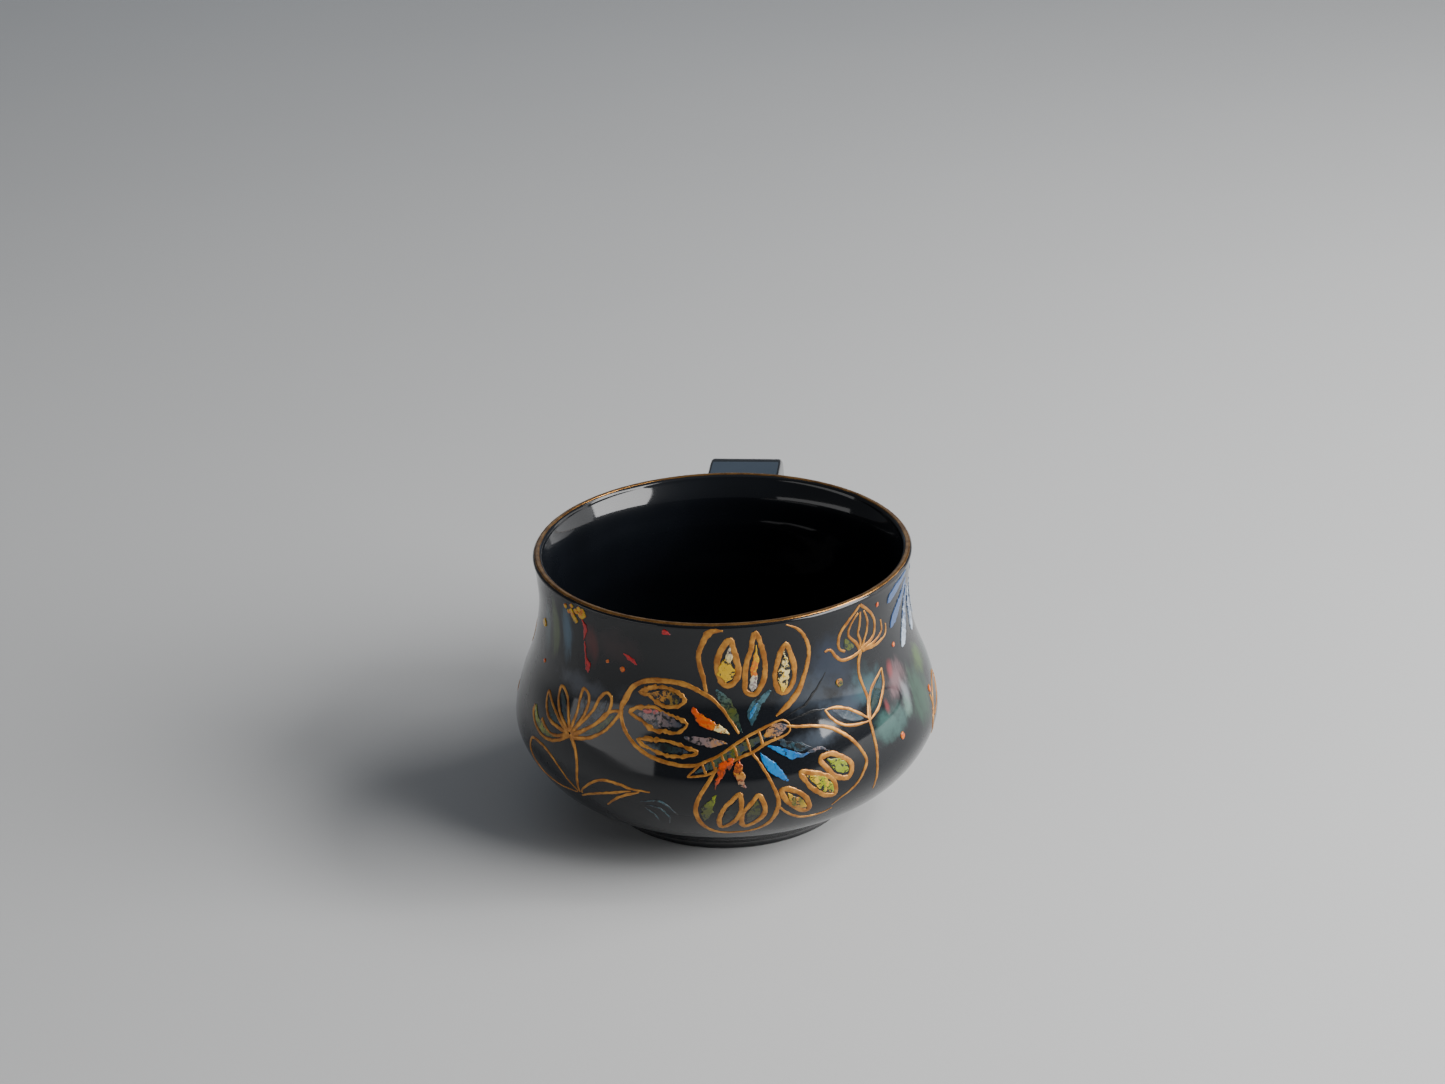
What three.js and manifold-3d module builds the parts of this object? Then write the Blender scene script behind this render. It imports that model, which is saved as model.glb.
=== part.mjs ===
// A lacquered, turned bowl-cup with a sawn handle, a gilded lip,
// and flowers and a butterfly laid on in raised paint.
// Millimetres, +Z up. The origin is the centre of the foot's flat underside, on the bowl's turning axis.
// The painted front faces -Y and the handle stands at the back, on +Y.
import * as THREE from "three";
import { mergeVertices } from "three/addons/utils/BufferGeometryUtils.js";
import Module from "manifold-3d";

const wasm = await Module();
wasm.setup();

// ---------- driving dimensions ----------
const rimRadius = 45;
const rimHeight = 66;
const neckRadius = 44;
const bellyRadius = 50.7;
const bellyHeight = 22.8;
const footRadius = 29;
const floorThickness = 5;
const wall = 3.2;
const lipWall = 2.4;
const lipRound = { drop: 0.8, inset: 0.5 }; // where the lip starts to turn in, and how far it does
const turnedSides = 56;

const fitGap = 0.3; // air left where two glued pieces meet
const gilding = { thickness: 0.35, width: 1.8, setback: 0.3, chamfer: 0.2 };

const handle = { width: 18, topHeight: 61, reach: 73, edgeRound: 0.9 };
const dowel = { radius: 2, sides: 20, clearance: 0.15 };
const holeMouth = { inBoard: 40, inBowl: 60 }; // depths well clear of the face each hole opens on
const upperDowel = { height: 57.6, from: 42.2, to: 52.5 };
const lowerDowel = { height: 26.4, from: 48.8, to: 57 };

const line = { width: 1.1, thickness: 0.4, step: 2.6, slope: 0.3 }; // a raised painted line
const petalRoot = 0.7; // width of a petal or leaf where it starts

// ---------- the turned outline, as (radius, height) stations ----------
const outerStations = [
  [footRadius, 0],
  [footRadius + 1.5, 2.2],
  [35.5, 6],
  [45.4, 13.2],
  [bellyRadius, bellyHeight],
  [49.4, 32.5],
  [45.8, 42.6],
  [neckRadius, 52.8],
  [44.3, 61],
  [rimRadius, rimHeight],
].map(([r, z]) => new THREE.Vector2(r, z));
const outerCurve = new THREE.SplineCurve(outerStations);
const outerFine = outerCurve.getPoints(240);

// Radius of the outside at a height, read off the finely divided outline.
function radiusAt(height) {
  const above = outerFine.findIndex((p) => p.y >= height);
  const b = outerFine[Math.max(1, above)];
  const a = outerFine[Math.max(1, above) - 1];
  return a.x + ((b.x - a.x) * (height - a.y)) / (b.y - a.y);
}

// ---------- small helpers ----------
function solidOf(geometry) {
  const bare = geometry.index ? geometry.toNonIndexed() : geometry.clone();
  bare.deleteAttribute("normal");
  bare.deleteAttribute("uv");
  const merged = mergeVertices(bare, 1e-4);
  return new wasm.Manifold(
    new wasm.Mesh({
      numProp: 3,
      vertProperties: merged.attributes.position.array,
      triVerts: new Uint32Array(merged.index.array),
    }),
  );
}

function geometryOf(solid) {
  const mesh = solid.getMesh();
  const geometry = new THREE.BufferGeometry();
  geometry.setAttribute("position", new THREE.BufferAttribute(mesh.vertProperties, 3));
  geometry.setIndex(new THREE.BufferAttribute(mesh.triVerts, 1));
  geometry.computeVertexNormals();
  return geometry;
}

// Spins (radius, height) points about the Z axis.
function turned(points, sides = turnedSides) {
  return new THREE.LatheGeometry(points, sides).rotateX(Math.PI / 2);
}

// A round peg along +Y, from one depth to another.
function peg(radius, height, from, to) {
  const geometry = new THREE.CylinderGeometry(radius, radius, to - from, dowel.sides);
  return geometry.translate(0, (from + to) / 2, height);
}

const materials = {
  lacquer: { color: 0x07080a, roughness: 0.08, metalness: 0 },
  gold: { color: 0xb07a34, roughness: 0.38, metalness: 0.8 },
  wood: { color: 0xd8b888, roughness: 0.7, metalness: 0 },
};

const cup = new THREE.Group();
function add(name, geometry, material) {
  const mesh = new THREE.Mesh(geometry, new THREE.MeshStandardMaterial(materials[material]));
  mesh.name = name;
  cup.add(mesh);
}

// ---------- the turned body ----------
const lipTop = rimHeight - gilding.thickness - fitGap;
const outside = outerCurve.getPoints(22).filter((p) => p.y < lipTop - lipRound.drop);
const inside = [
  [rimRadius - lipWall, lipTop - lipRound.drop],
  [neckRadius - wall + 0.5, 60],
  [neckRadius - wall, 52.5],
  [45.8 - wall, 42.2],
  [49.2 - wall, 32],
  [bellyRadius - wall - 0.2, bellyHeight],
  [43.6 - wall, 13.2],
  [32, 7.4],
  [20, floorThickness + 0.4],
].map(([r, z]) => new THREE.Vector2(r, z));
const lip = [
  new THREE.Vector2(radiusAt(lipTop - lipRound.drop + 0.1), lipTop - lipRound.drop + 0.1),
  new THREE.Vector2(rimRadius - lipRound.inset, lipTop),
  new THREE.Vector2(rimRadius - lipWall + lipRound.inset, lipTop),
];
const bodyOutline = [
  new THREE.Vector2(0, 0),
  ...outside,
  ...lip,
  ...new THREE.SplineCurve(inside).getPoints(14),
  new THREE.Vector2(0, floorThickness),
];
const hole = ({ height }, from, to) => solidOf(peg(dowel.radius + dowel.clearance, height, from, to));
const body = solidOf(turned(bodyOutline))
  .subtract(hole(upperDowel, upperDowel.from - fitGap, holeMouth.inBowl))
  .subtract(hole(lowerDowel, lowerDowel.from - fitGap, holeMouth.inBowl));
add("bowl_body", geometryOf(body), "lacquer");

// ---------- the gilding that caps the lip ----------
const gildInner = rimRadius - gilding.setback - gilding.width;
const gildOutline = [
  [gildInner, rimHeight - gilding.thickness],
  [gildInner + gilding.width, rimHeight - gilding.thickness],
  [gildInner + gilding.width - gilding.chamfer, rimHeight],
  [gildInner + gilding.chamfer, rimHeight],
  [gildInner, rimHeight - gilding.thickness],
].map(([r, z]) => new THREE.Vector2(r, z));
add("rim_gilding", turned(gildOutline), "gold");

// ---------- the handle, sawn from a board ----------
function handleOutline() {
  const { topHeight: top, reach } = handle;
  const shape = new THREE.Shape();
  shape.moveTo(40, top);
  shape.lineTo(62, top);
  shape.bezierCurveTo(69, top, reach, 57, reach, 49);
  shape.bezierCurveTo(reach, 37, 64, 25.5, 53, 21.5);
  shape.lineTo(44, 20);
  shape.lineTo(44, 30.5);
  shape.lineTo(51, 31);
  shape.bezierCurveTo(58, 33.5, 65.5, 41, 65.5, 47.5);
  shape.bezierCurveTo(65.5, 52, 63.5, 54.2, 59, 54.2);
  shape.lineTo(40, 54.2);
  shape.closePath();
  return shape;
}
const board = new THREE.ExtrudeGeometry(handleOutline(), {
  depth: handle.width - 2 * handle.edgeRound,
  bevelEnabled: true,
  bevelThickness: handle.edgeRound,
  bevelSize: handle.edgeRound * 0.6,
  bevelOffset: -handle.edgeRound * 0.6,
  bevelSegments: 2,
  curveSegments: 8,
});
board.translate(0, 0, handle.edgeRound - handle.width / 2);
board.applyMatrix4(
  new THREE.Matrix4().makeBasis(
    new THREE.Vector3(0, 1, 0),
    new THREE.Vector3(0, 0, 1),
    new THREE.Vector3(1, 0, 0),
  ),
);
const seat = [
  new THREE.Vector2(0, -1),
  ...outerCurve.getPoints(22).map((p) => new THREE.Vector2(p.x + fitGap, p.y)),
  new THREE.Vector2(0, rimHeight + 1),
];
const sawn = solidOf(board)
  .subtract(solidOf(turned(seat)))
  .subtract(hole(upperDowel, holeMouth.inBoard, upperDowel.to + fitGap))
  .subtract(hole(lowerDowel, holeMouth.inBoard, lowerDowel.to + fitGap));
add("handle", geometryOf(sawn), "lacquer");
add("upper_handle_dowel", peg(dowel.radius, upperDowel.height, upperDowel.from, upperDowel.to), "wood");
add("lower_handle_dowel", peg(dowel.radius, lowerDowel.height, lowerDowel.from, lowerDowel.to), "wood");

// ---------- raised painted lines ----------
// A place on the outside of the bowl is (degrees round from the front, height).
function onBowl(degrees, height, lift) {
  const turn = THREE.MathUtils.degToRad(degrees);
  const slope = (radiusAt(height + line.slope) - radiusAt(height - line.slope)) / (2 * line.slope);
  const out = new THREE.Vector3(Math.sin(turn), -Math.cos(turn), 0);
  const normal = out.clone().addScaledVector(new THREE.Vector3(0, 0, 1), -slope).normalize();
  const point = out.multiplyScalar(radiusAt(height));
  point.z = height;
  return { point: point.addScaledVector(normal, lift), normal };
}

// A low ridge of paint along (degrees, height) places, standing fitGap off the bowl.
// widthAt gives its width in mm at a share of its length from 0 to 1.
function ridge(places, widthAt) {
  const path = new THREE.SplineCurve(places.map(([d, z]) => new THREE.Vector2(d, z)));
  const count = Math.max(5, Math.ceil(path.getLength() / line.step));
  const flat = path.getSpacedPoints(count);
  const rings = flat.map((p, i) => {
    const before = flat[Math.max(0, i - 1)];
    const after = flat[Math.min(flat.length - 1, i + 1)];
    const { normal } = onBowl(p.x, p.y, 0);
    const along = onBowl(after.x, after.y, 0).point.sub(onBowl(before.x, before.y, 0).point);
    const side = along.cross(normal).normalize();
    const half = widthAt(i / (flat.length - 1)) / 2;
    const crest = Math.max(0.15, half - 0.3);
    return [
      onBowl(p.x, p.y, fitGap).point.addScaledVector(side, -half),
      onBowl(p.x, p.y, fitGap).point.addScaledVector(side, half),
      onBowl(p.x, p.y, fitGap + line.thickness).point.addScaledVector(side, crest),
      onBowl(p.x, p.y, fitGap + line.thickness).point.addScaledVector(side, -crest),
    ];
  });
  const corners = 4;
  const index = [];
  for (let i = 0; i + 1 < rings.length; i++)
    for (let k = 0; k < corners; k++) {
      const a = i * corners + k;
      const b = i * corners + ((k + 1) % corners);
      index.push(a, a + corners, b, b, a + corners, b + corners);
    }
  const last = (rings.length - 1) * corners;
  index.push(0, 1, 2, 0, 2, 3, last, last + 2, last + 1, last, last + 3, last + 2);
  const geometry = new THREE.BufferGeometry().setFromPoints(rings.flat());
  geometry.setIndex(index);
  return solidOf(geometry);
}

const stroke = (...places) => ridge(places, () => line.width);
// A petal or leaf swells from its base and closes at its tip.
const petal = (base, tip, width, swell = 1) =>
  ridge(
    [base, [(base[0] + tip[0]) / 2, (base[1] + tip[1]) / 2], tip],
    (share) => petalRoot + (width - petalRoot) * Math.sin(Math.PI * share ** swell) ** 0.8,
  );

function motif(name, ridges) {
  add(name, geometryOf(ridges.reduce((all, next) => all.add(next))), "gold");
}

motif("butterfly_outline", [
  ridge(
    [[-4.5, 30], [2, 32.5], [10, 36], [17, 38.5], [23, 40.5]],
    (share) => 1 + 1.6 * Math.sin(Math.PI * share),
  ),
  stroke([5.5, 64.5], [1, 64.5], [-1, 61.5], [-2, 56.5], [-1, 52], [1, 48]),
  stroke([24, 64.5], [28.5, 61.5], [31.5, 56], [30.5, 51], [26.5, 47], [20, 39.5]),
  stroke(
    [13, 36.5], [8.5, 41.5], [0.5, 48.5], [-11, 51.5], [-22.5, 48],
    [-25, 42], [-22, 37], [-11.5, 33], [1, 32],
  ),
  stroke([22, 40], [33.5, 38], [44, 31.5], [45.5, 25.5], [40.5, 19.5], [34, 16.5]),
  stroke([18, 21.5], [22, 19], [28, 16.5], [34, 16.5]),
  stroke(
    [11.5, 36], [14.5, 31], [18, 24], [17, 18.5], [8.5, 14],
    [-1, 19], [-3, 23.5], [1, 31], [4, 33.5],
  ),
]);

const openFlower = { base: [-42, 33.5], stemEnd: [-37.5, 21] };
motif("open_flower_petals", [
  petal(openFlower.base, [-63, 34], 4.2),
  petal(openFlower.base, [-56, 39.5], 3.2, 1.2),
  petal(openFlower.base, [-51, 42.5], 3, 1.4),
  petal(openFlower.base, [-40, 44.5], 2.8, 1.6),
  petal(openFlower.base, [-32, 45], 3, 1.6),
  petal(openFlower.base, [-27.5, 41], 3.6, 1.2),
  stroke(openFlower.base, [-38.5, 30], [-38, 25], openFlower.stemEnd),
  petal(openFlower.stemEnd, [-59, 27], 5),
  petal(openFlower.stemEnd, [-15, 25.5], 5.5),
]);

const bud = { base: [51, 51], leafJoint: [49, 36] };
motif("flower_bud_petals", [
  petal(bud.base, [50, 64], 8.5, 0.8),
  stroke(bud.base, [44, 52], [40, 53], [37, 55.5]),
  stroke(bud.base, [59, 51], [64, 53], [65.5, 55]),
  stroke(bud.base, [49, 47.5], [49, 43.5], [50.5, 39.5], bud.leafJoint, [49, 26.5], [48, 19.5]),
  petal(bud.leafJoint, [35, 41.5], 4.5),
  petal(bud.leafJoint, [59, 43], 3.6),
]);

export default cup;
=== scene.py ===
import bisect
import math
import random

import bpy
from mathutils import Matrix, Quaternion, Vector, noise


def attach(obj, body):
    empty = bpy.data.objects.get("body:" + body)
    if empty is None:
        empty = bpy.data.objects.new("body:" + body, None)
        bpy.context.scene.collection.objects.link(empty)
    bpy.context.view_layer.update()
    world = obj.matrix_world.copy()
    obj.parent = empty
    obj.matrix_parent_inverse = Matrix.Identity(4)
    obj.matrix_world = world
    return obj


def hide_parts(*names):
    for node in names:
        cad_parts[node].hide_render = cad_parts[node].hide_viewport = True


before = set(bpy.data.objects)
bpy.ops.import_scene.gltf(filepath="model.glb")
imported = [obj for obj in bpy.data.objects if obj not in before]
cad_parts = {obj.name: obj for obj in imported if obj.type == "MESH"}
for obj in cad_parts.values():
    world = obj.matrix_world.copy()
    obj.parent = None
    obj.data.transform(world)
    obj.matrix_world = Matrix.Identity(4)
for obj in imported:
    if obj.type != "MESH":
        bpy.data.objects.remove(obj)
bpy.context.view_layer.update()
mm = 0.001
print("frame loaded:", ", ".join(sorted(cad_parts)))


# Azimuth is in degrees round the bowl from its painted front, and elevation is up from level.
# Roll, tiltUp and turnLeft then turn the camera in its own place.
cameraPlace = {
    "lens": 85,
    "azimuth": 6.0,
    "elevation": 25.9,
    "distance": 821 * mm,
    "aim": Vector((0, 0, 34.8 * mm)),
    "roll": -1.75,
    "tiltUp": 2.026,
    "turnLeft": 0.054,
}


def setCamera(place):
    turn = math.radians(place["azimuth"])
    rise = math.radians(place["elevation"])
    back = Vector((math.sin(turn) * math.cos(rise), -math.cos(turn) * math.cos(rise), math.sin(rise)))
    look = (-back).to_track_quat("-Z", "Y")
    look = look @ Quaternion((0, 0, 1), math.radians(place["roll"]))
    look = look @ Quaternion((1, 0, 0), math.radians(place["tiltUp"]))
    look = look @ Quaternion((0, 1, 0), math.radians(place["turnLeft"]))
    lens = bpy.data.cameras.new("camera")
    lens.lens = place["lens"]
    camera = bpy.data.objects.new("camera", lens)
    bpy.context.scene.collection.objects.link(camera)
    eye = place["aim"] + back * place["distance"]
    camera.matrix_world = Matrix.Translation(eye) @ look.to_matrix().to_4x4()
    bpy.context.scene.camera = camera


setCamera(cameraPlace)


def pickOnly(*objects):
    bpy.ops.object.select_all(action="DESELECT")
    for one in objects:
        one.select_set(True)
    bpy.context.view_layer.objects.active = objects[0]


def smoothLine(places, steps, closed=False):
    count = len(places)
    points = [Vector(place) for place in places]
    pick = (lambda k: points[k % count]) if closed else (lambda k: points[min(max(k, 0), count - 1)])
    line = []
    for i in range(count if closed else count - 1):
        before, start, end, after = pick(i - 1), pick(i), pick(i + 1), pick(i + 2)
        leave, arrive = (end - before) / 2, (after - start) / 2
        for step in range(steps):
            t = step / steps
            line.append(
                (2 * start - 2 * end + leave + arrive) * t**3
                + (3 * end - 3 * start - 2 * leave - arrive) * t**2
                + leave * t
                + start
            )
    if not closed:
        line.append(points[-1])
    return line


def lookUp(keys, values, key):
    at = min(max(bisect.bisect_left(keys, key), 1), len(keys) - 1)
    share = (key - keys[at - 1]) / (keys[at] - keys[at - 1])
    return values[at - 1] + share * (values[at] - values[at - 1])


def screenColour(red, green, blue):
    def straight(value):
        value /= 255
        return value / 12.92 if value <= 0.04045 else ((value + 0.055) / 1.055) ** 2.4

    return (straight(red), straight(green), straight(blue), 1.0)


# A Wire is one output of one node, and arithmetic on it adds Math nodes.
class Wire:
    def __init__(self, finish, socket):
        self.finish = finish
        self.socket = socket

    def combine(self, operation, first, second):
        return self.finish.node("ShaderNodeMath", {"operation": operation}, {0: first, 1: second})

    def __add__(self, other):
        return self.combine("ADD", self, other)

    def __sub__(self, other):
        return self.combine("SUBTRACT", self, other)

    def __rsub__(self, other):
        return self.combine("SUBTRACT", other, self)

    def __mul__(self, other):
        return self.combine("MULTIPLY", self, other)

    __radd__ = __add__
    __rmul__ = __mul__


class Finish:
    def __init__(self, name):
        self.material = bpy.data.materials.new(name)
        self.material.use_nodes = True
        self.tree = self.material.node_tree
        self.shader = self.tree.nodes["Principled BSDF"]
        self.place = self.node("ShaderNodeTexCoord", out="Object")

    def node(self, kind, settings=None, sockets=None, out=0):
        made = self.tree.nodes.new(kind)
        for name, value in (settings or {}).items():
            setattr(made, name, value)
        for name, value in (sockets or {}).items():
            self.feed(made.inputs[name], value)
        return Wire(self, made.outputs[out])

    def feed(self, socket, value):
        if isinstance(value, Wire):
            self.tree.links.new(value.socket, socket)
        else:
            socket.default_value = value

    # Sets the shader's own inputs, with _ for each space in their names.
    def give(self, **sockets):
        for name, value in sockets.items():
            self.feed(self.shader.inputs[name.replace("_", " ")], value)

    def noise(self, scale, detail=3, rough=0.55, stretch=None, twist=0):
        where = self.place
        if stretch:
            where = self.node("ShaderNodeMapping", None, {"Vector": self.place, "Scale": stretch})
        return self.node(
            "ShaderNodeTexNoise",
            None,
            {"Vector": where, "Scale": scale, "Detail": detail, "Roughness": rough, "Distortion": twist},
        )

    def step(self, value, low, high):
        return self.node(
            "ShaderNodeMapRange",
            {"interpolation_type": "SMOOTHSTEP"},
            {"Value": value, "From Min": low, "From Max": high},
        )

    def mix(self, share, first, second):
        return self.node("ShaderNodeMix", {"data_type": "RGBA"}, {0: share, 6: first, 7: second}, 2)

    def range(self, value, low, high):
        return self.node("ShaderNodeMapRange", None, {"Value": value, "To Min": low, "To Max": high})

    def bump(self, height, distance, strength=1.0):
        sockets = {"Height": height, "Distance": distance, "Strength": strength}
        self.give(Normal=self.node("ShaderNodeBump", None, sockets))


# Stations are (radius, height) in mm, and a smooth line goes through them all.
bowl = {
    "outside": [
        (29, 0), (30.5, 2.2), (35.5, 6), (45.4, 13.2), (50.7, 22.8),
        (49.4, 32.5), (45.8, 42.6), (44, 52.8), (44.3, 61), (45, 66),
    ],
    "inside": [
        (42.7, 64.9), (41, 61), (40.5, 57), (40.6, 52), (42.6, 42.2), (46, 32),
        (47.3, 22.8), (40.4, 13.2), (32, 7.4), (20, 5.4), (8, 5.1),
    ],
    "sides": 224,
    "lipCentre": (43.8, 64.9),
    "lipRound": (1.1, 0.9),
    "lipSteps": 12,
    "belowLip": 0.4,  # where the outside line stops, under the lip's middle
    "floor": 5.05,  # height of the inside at its middle
    "pin": 0.4,  # radius of the smallest ring, which is then closed
    "footEdge": [(28.4, 0), (28.9, 0.12)],
    "footGrooves": [(26.5, 0.25), (21.5, 0.12), (12.5, 0.12)],  # radius and depth of the lathe's rings
    "grooveHalf": 0.45,
    "smoothUnder": 50,  # degrees
}

outsideLine = smoothLine(bowl["outside"], 40)
outsideHeights = [point.y for point in outsideLine]
outsideRadii = [point.x for point in outsideLine]
outsideArcs = [0.0]
for one, two in zip(outsideLine, outsideLine[1:]):
    outsideArcs.append(outsideArcs[-1] + (two - one).length)


def radiusAt(height):
    return lookUp(outsideHeights, outsideRadii, height)


# Unrolls a place into flat mm, across from the middle of its stroke and up along the outline.
def flatten(degrees, height, middle):
    across = math.radians(degrees - middle) * radiusAt(height)
    return Vector((across, lookUp(outsideHeights, outsideArcs, height)))


# Lays a flat mm point back on the bowl, at its lift off the surface.
def ontoBowl(across, arc, lift, middle):
    height = lookUp(outsideArcs, outsideHeights, arc)
    radius = radiusAt(height)
    turn = math.radians(middle) + across / radius
    step = 0.2
    slope = (radiusAt(height + step) - radiusAt(height - step)) / (2 * step)
    outward = Vector((math.sin(turn), -math.cos(turn), 0))
    normal = (outward - Vector((0, 0, slope))).normalized()
    return (outward * radius + Vector((0, 0, height)) + normal * lift) * mm


def lipArc():
    (radius, height), (wide, tall) = bowl["lipCentre"], bowl["lipRound"]
    turns = [math.pi * k / bowl["lipSteps"] for k in range(bowl["lipSteps"] + 1)]
    return [Vector((radius + wide * math.cos(turn), height + tall * math.sin(turn))) for turn in turns]


def turnBowl():
    top = bowl["lipCentre"][1] - bowl["belowLip"]
    outside = [p for p in smoothLine(bowl["outside"], 7) if p.y < top]
    inside = smoothLine(bowl["inside"], 6)[1:]
    half = bowl["grooveHalf"]
    under = [(bowl["pin"], 0)]
    for radius, depth in reversed(bowl["footGrooves"]):
        under += [(radius - half, 0), (radius, depth), (radius + half, 0)]
    under = [Vector(place) for place in under + bowl["footEdge"]]
    rings = under + outside[1:] + lipArc() + inside + [Vector((bowl["pin"], bowl["floor"]))]
    start = rings[0]
    bpy.ops.object.select_all(action="DESELECT")
    bpy.ops.mesh.primitive_circle_add(vertices=bowl["sides"], radius=start.x * mm, fill_type="NGON")
    body = bpy.context.object
    body.name = "turned_bowl"
    bpy.ops.object.mode_set(mode="EDIT")
    bpy.ops.mesh.select_all(action="SELECT")
    for ring, following in zip(rings, rings[1:]):
        rise = (following.y - ring.y) * mm
        grow = following.x / ring.x
        bpy.ops.mesh.extrude_region_move(TRANSFORM_OT_translate={"value": (0, 0, rise)})
        bpy.ops.transform.resize(value=(grow, grow, 1), center_override=(0, 0, 0))
    bpy.ops.mesh.merge(type="CENTER")
    bpy.ops.mesh.select_all(action="SELECT")
    bpy.ops.mesh.normals_make_consistent(inside=False)
    bpy.ops.object.mode_set(mode="OBJECT")
    bpy.ops.object.shade_smooth_by_angle(angle=math.radians(bowl["smoothUnder"]))
    return body


# Thin colour rubbed over the lacquer: its place in (degrees, height), half its width and height in mm,
# its screen colour, its strength and its kind. Some of it is a painted sheen of the window light.
washesAndSheen = [
    # painted sheen: these three blue-grey clouds are partly paint wash and partly a painted reflection of
    # the window light
    ((31, 46), (9, 6), (78, 88, 100), 0.34, "cloud"),
    ((43, 41.5), (10, 4), (86, 98, 112), 0.48, "cloud"),
    ((32, 36), (9, 3), (82, 92, 104), 0.48, "cloud"),
    ((40, 52), (8, 10), (40, 52, 70), 0.5, "cloud"),
    ((52, 43), (6, 8), (60, 92, 98), 0.6, "cloud"),
    ((57, 33), (9, 5), (70, 106, 100), 0.65, "cloud"),
    ((65, 41), (5.5, 6), (122, 92, 96), 0.7, "streak"),
    ((67, 37), (3.5, 5), (140, 146, 150), 0.55, "streak"),
    ((63, 44), (1.8, 2.5), (130, 44, 48), 0.6, "cloud"),
    ((57, 37), (1.2, 2.5), (128, 30, 36), 0.6, "cloud"),
    ((66, 34), (2.5, 4), (100, 132, 120), 0.6, "cloud"),
    ((75, 34), (8, 10), (44, 78, 60), 0.7, "streak"),
    ((83, 40), (6, 4.5), (66, 96, 36), 0.7, "cloud"),
    ((96, 36), (9, 9), (36, 62, 56), 0.5, "streak"),
    ((-50, 56), (3, 9), (74, 104, 124), 0.75, "streak"),
    ((-57, 55), (3, 9), (88, 104, 60), 0.6, "streak"),
    ((-64, 54), (3, 9), (62, 84, 88), 0.6, "streak"),
    ((-38, 56), (3, 6), (96, 36, 34), 0.6, "streak"),
    ((-28, 57), (9, 5), (58, 34, 36), 0.4, "cloud"),
    ((-42, 45), (12, 3.5), (92, 96, 106), 0.5, "cloud"),
    ((-20, 46), (8, 3), (64, 68, 76), 0.4, "cloud"),
]
washAndSheenEdge = {
    "fray": 1.5,
    "reach": 1.75,
    "soft": 0.85,
    "depth": 6,  # half its size through the wall, in mm
}
lacquer = {
    "dark": (0.0022, 0.0026, 0.0034, 1),
    "light": (0.006, 0.0075, 0.0105, 1),
    "rough": (0.3, 0.45),
    "coat": (0.7, 0.95),
    "coatRough": 0.07,
    "specular": 0.06,
    "ripple": 0.06 * mm,
}


def lacquerBase(name):
    finish = Finish(name)
    drift = finish.noise(38, 3)
    deep = finish.mix(drift, lacquer["dark"], lacquer["light"])
    rub = finish.noise(160, 4, 0.65)
    finish.give(Roughness=finish.range(rub, *lacquer["rough"]), Coat_Roughness=lacquer["coatRough"])
    finish.give(Specular_IOR_Level=lacquer["specular"], Coat_Weight=finish.range(drift, *lacquer["coat"]))
    finish.bump(finish.noise(95, 2, 0.4), lacquer["ripple"])
    return finish, deep


def plainLacquer():
    finish, deep = lacquerBase("plain_lacquer")
    finish.give(Base_Color=deep)
    return finish.material


# The washes, with the painted sheen among them, are mixed into the lacquer's colour.
def washAndSheenLacquer():
    finish, colour = lacquerBase("washed_and_sheened_lacquer")
    ragged = {
        "cloud": finish.noise(210, 6, 0.62),
        "streak": finish.noise(260, 5, 0.6, stretch=(1.6, 1.6, 0.35)),
    }
    for (degrees, height), (wide, tall), tint, strength, kind in washesAndSheen:
        turn = math.radians(degrees)
        radius = radiusAt(height)
        local = finish.node(
            "ShaderNodeMapping",
            {"vector_type": "TEXTURE"},
            {
                "Vector": finish.place,
                "Location": Vector((math.sin(turn) * radius, -math.cos(turn) * radius, height)) * mm,
                "Rotation": (0, 0, turn),
                "Scale": (wide * mm, washAndSheenEdge["depth"] * mm, tall * mm),
            },
        )
        away = finish.node("ShaderNodeVectorMath", {"operation": "LENGTH"}, {0: local}, "Value")
        edge = away + ragged[kind] * washAndSheenEdge["fray"]
        mask = finish.step(washAndSheenEdge["reach"] - edge, 0, washAndSheenEdge["soft"]) * strength
        colour = finish.mix(mask, colour, screenColour(*tint))
    finish.give(Base_Color=colour)
    return finish.material


golds = {
    "lines": {"dark": (148, 92, 30), "light": (196, 138, 60), "metal": 0.5, "rough": 0.26},
    "lip": {"dark": (118, 80, 38), "light": (172, 124, 68), "metal": 0.85, "rough": 0.12},
    "worn": (104, 58, 20),
}


# Paint pools lighter and more metallic, and its grain is worn brown.
def goldPaint(name, look):
    finish = Finish(name)
    pool = finish.noise(420, 4, 0.6)
    grain = finish.noise(2600, 2, 0.6)
    shades = [screenColour(*look[shade]) for shade in ("dark", "light")]
    tone = finish.mix(finish.step(pool, 0.34, 0.68), *shades)
    worn = finish.step(grain, 0.6, 0.8) * 0.35
    metal, rough = look["metal"], look["rough"]
    finish.give(Base_Color=finish.mix(worn, tone, screenColour(*golds["worn"])))
    finish.give(Metallic=finish.range(pool, metal - 0.2, metal + 0.15))
    finish.give(Roughness=finish.range(grain, rough, rough + 0.18))
    finish.bump(grain, 0.03 * mm, 0.6)
    return finish.material


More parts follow.
